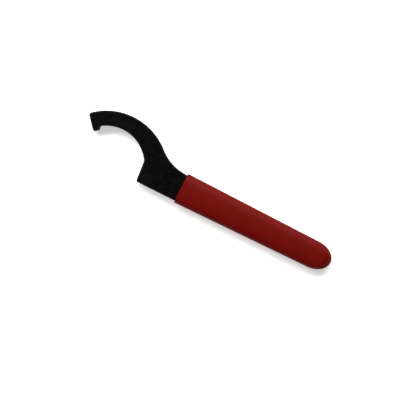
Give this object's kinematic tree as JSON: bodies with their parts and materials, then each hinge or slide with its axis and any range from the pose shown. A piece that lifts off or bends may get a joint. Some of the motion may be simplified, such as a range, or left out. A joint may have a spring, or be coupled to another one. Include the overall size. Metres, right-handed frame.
{
  "type": "hook wrench",
  "caption": "Fixed hook wrench for hydrant caps and hose couplings: black forged hook with one tooth, on a flat shank in a moulded red grip.",
  "frame": {"origin": "centre of the jaw's arc, which is the coupling's axis, halfway through the steel's thickness", "axes": "+X along the handle to the end of the grip, +Y towards the hook's outer side, +Z along the coupling's axis, through the thickness"},
  "size_m": [0.2817, 0.0584, 0.0164],
  "materials": {
    "black_steel": "blackened forging, dull satin",
    "red_pvc": "smooth satin moulded PVC"
  },
  "bodies": {
    "root": {"wrench_body": "black_steel", "handle_grip": "red_pvc"}
  },
  "joints": []
}
